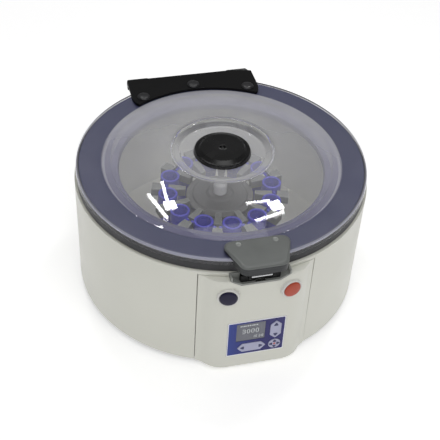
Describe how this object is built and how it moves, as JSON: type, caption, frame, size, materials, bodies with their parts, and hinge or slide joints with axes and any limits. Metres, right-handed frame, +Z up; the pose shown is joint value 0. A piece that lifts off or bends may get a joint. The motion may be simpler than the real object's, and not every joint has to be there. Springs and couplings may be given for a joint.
{
  "type": "laboratory centrifuge",
  "caption": "Round bench-top swing-out centrifuge with a hinged clear domed lid, latch, keypad panel, start and stop buttons, and a ring of swinging tube holders.",
  "frame": {"origin": "on the rotor axis, at the level of the bench that the feet stand on", "axes": "+Z up along the rotor axis; the keypad and latch face -Y, the lid's hinge and the power inlet are at +Y"},
  "size_m": [0.37, 0.406, 0.1986],
  "materials": {
    "shell_white": "satin moulded plastic, off-white",
    "deck_dark": "matt, near black with a violet cast",
    "clear_lid": "clear polished plastic",
    "bowl_grey": "light grey satin metal",
    "black_gloss": "glossy black",
    "black_matt": "matt black",
    "latch_grey": "satin dark grey",
    "steel": "satin steel",
    "rotor_aluminium": "machined, anodised grey",
    "holder_blue": "blue, satin gloss",
    "keypad_blue": "printed membrane, blue",
    "key_lavender": "printed membrane, light lavender",
    "display_grey": "grey display window",
    "button_blue": "glossy dark blue",
    "button_red": "glossy red",
    "rubber": "matt black rubber",
    "board_green": "circuit board",
    "motor_metal": "grey painted metal"
  },
  "bodies": {
    "housing": {"outer_shell": "shell_white", "front_panel": "shell_white", "rear_panel": "shell_white", "base_plate": "motor_metal", "chamber_bowl": "bowl_grey", "deck_ring": "deck_dark", "lid_seal": "rubber", "hinge_bracket_left": "black_matt", "hinge_bracket_right": "black_matt", "latch_pocket": "shell_white", "lock_solenoid": "steel", "keypad_frame": "keypad_blue", "display": "display_grey", "control_board": "board_green", "power_board": "board_green", "power_inlet": "black_matt", "motor": "motor_metal", "motor_mount": "rubber", "start_button_ring": "key_lavender", "stop_button_ring": "key_lavender", "foot_1": "rubber", "foot_2": "rubber", "foot_3": "rubber", "foot_4": "rubber"},
    "lid": {"lid_dome": "clear_lid", "port_cap": "black_gloss", "port_nut": "black_matt", "hinge_plate": "black_matt", "hinge_pin": "steel", "hinge_screw_left": "black_gloss", "hinge_screw_middle": "black_gloss", "hinge_screw_right": "black_gloss", "latch_handle": "latch_grey", "latch_shackle": "black_matt", "latch_bar": "steel", "latch_screw_left": "steel", "latch_screw_right": "steel"},
    "rotor": {"motor_shaft": "steel", "rotor_spider": "rotor_aluminium", "rotor_nut": "steel"},
    "holder_01": {"tube_holder_01": "holder_blue"},
    "holder_02": {"tube_holder_02": "holder_blue"},
    "holder_03": {"tube_holder_03": "holder_blue"},
    "holder_04": {"tube_holder_04": "holder_blue"},
    "holder_05": {"tube_holder_05": "holder_blue"},
    "holder_06": {"tube_holder_06": "holder_blue"},
    "holder_07": {"tube_holder_07": "holder_blue"},
    "holder_08": {"tube_holder_08": "holder_blue"},
    "holder_09": {"tube_holder_09": "holder_blue"},
    "holder_10": {"tube_holder_10": "holder_blue"},
    "holder_11": {"tube_holder_11": "holder_blue"},
    "holder_12": {"tube_holder_12": "holder_blue"},
    "catch": {"lock_catch": "steel"},
    "start_button": {"start_button": "button_blue"},
    "stop_button": {"stop_button": "button_red"},
    "key_up_down": {"key_up_down": "key_lavender"},
    "key_left_right": {"key_left_right": "key_lavender"},
    "key_run": {"key_run": "key_lavender"},
    "power_switch": {"power_switch": "black_matt"}
  },
  "joints": [
    {"name": "lid_hinge", "type": "hinge", "parent": "housing", "child": "lid", "pos_m": [0, 0.197, 0.168], "axis": [-1, 0, 0], "range_deg": [0, 80]},
    {"name": "rotor_spin", "type": "hinge", "parent": "housing", "child": "rotor", "pos_m": [0, 0, 0.126], "axis": [0, 0, 1], "continuous": true},
    {"name": "holder_01_swing", "type": "hinge", "parent": "rotor", "child": "holder_01", "pos_m": [-0.00178, -0.06798, 0.126], "axis": [-0.9997, 0.0262, 0], "range_deg": [0, 90]},
    {"name": "holder_02_swing", "type": "hinge", "parent": "rotor", "child": "holder_02", "pos_m": [0.03245, -0.05976, 0.126], "axis": [-0.8788, -0.4772, 0], "range_deg": [0, 90]},
    {"name": "holder_03_swing", "type": "hinge", "parent": "rotor", "child": "holder_03", "pos_m": [0.05798, -0.03553, 0.126], "axis": [-0.5225, -0.8526, 0], "range_deg": [0, 90]},
    {"name": "holder_04_swing", "type": "hinge", "parent": "rotor", "child": "holder_04", "pos_m": [0.06798, -0.00178, 0.126], "axis": [-0.0262, -0.9997, 0], "range_deg": [0, 90]},
    {"name": "holder_05_swing", "type": "hinge", "parent": "rotor", "child": "holder_05", "pos_m": [0.05976, 0.03245, 0.126], "axis": [0.4772, -0.8788, 0], "range_deg": [0, 90]},
    {"name": "holder_06_swing", "type": "hinge", "parent": "rotor", "child": "holder_06", "pos_m": [0.03553, 0.05798, 0.126], "axis": [0.8526, -0.5225, 0], "range_deg": [0, 90]},
    {"name": "holder_07_swing", "type": "hinge", "parent": "rotor", "child": "holder_07", "pos_m": [0.00178, 0.06798, 0.126], "axis": [0.9997, -0.0262, 0], "range_deg": [0, 90]},
    {"name": "holder_08_swing", "type": "hinge", "parent": "rotor", "child": "holder_08", "pos_m": [-0.03245, 0.05976, 0.126], "axis": [0.8788, 0.4772, 0], "range_deg": [0, 90]},
    {"name": "holder_09_swing", "type": "hinge", "parent": "rotor", "child": "holder_09", "pos_m": [-0.05798, 0.03553, 0.126], "axis": [0.5225, 0.8526, 0], "range_deg": [0, 90]},
    {"name": "holder_10_swing", "type": "hinge", "parent": "rotor", "child": "holder_10", "pos_m": [-0.06798, 0.00178, 0.126], "axis": [0.0262, 0.9997, 0], "range_deg": [0, 90]},
    {"name": "holder_11_swing", "type": "hinge", "parent": "rotor", "child": "holder_11", "pos_m": [-0.05976, -0.03245, 0.126], "axis": [-0.4772, 0.8788, 0], "range_deg": [0, 90]},
    {"name": "holder_12_swing", "type": "hinge", "parent": "rotor", "child": "holder_12", "pos_m": [-0.03553, -0.05798, 0.126], "axis": [-0.8526, 0.5225, 0], "range_deg": [0, 90]},
    {"name": "lock_catch_turn", "type": "hinge", "parent": "housing", "child": "catch", "pos_m": [0, -0.184, 0.143], "axis": [1, 0, 0], "range_deg": [0, 10], "stiffness_Nm_per_rad": 0.2},
    {"name": "start_button_press", "type": "slide", "parent": "housing", "child": "start_button", "axis": [0.1959, 0.9806, 0], "range_m": [0, 0.0025], "stiffness_N_per_m": 400},
    {"name": "stop_button_press", "type": "slide", "parent": "housing", "child": "stop_button", "axis": [-0.1959, 0.9806, 0], "range_m": [0, 0.0025], "stiffness_N_per_m": 400},
    {"name": "key_up_down_press", "type": "slide", "parent": "housing", "child": "key_up_down", "axis": [0, 1, 0], "range_m": [0, 0.0006], "stiffness_N_per_m": 900},
    {"name": "key_left_right_press", "type": "slide", "parent": "housing", "child": "key_left_right", "axis": [0, 1, 0], "range_m": [0, 0.0006], "stiffness_N_per_m": 900},
    {"name": "key_run_press", "type": "slide", "parent": "housing", "child": "key_run", "axis": [0, 1, 0], "range_m": [0, 0.0006], "stiffness_N_per_m": 900},
    {"name": "power_switch_rock", "type": "hinge", "parent": "housing", "child": "power_switch", "pos_m": [0.03, 0.1985, 0.052], "axis": [1, 0, 0], "range_deg": [0, 14]}
  ]
}
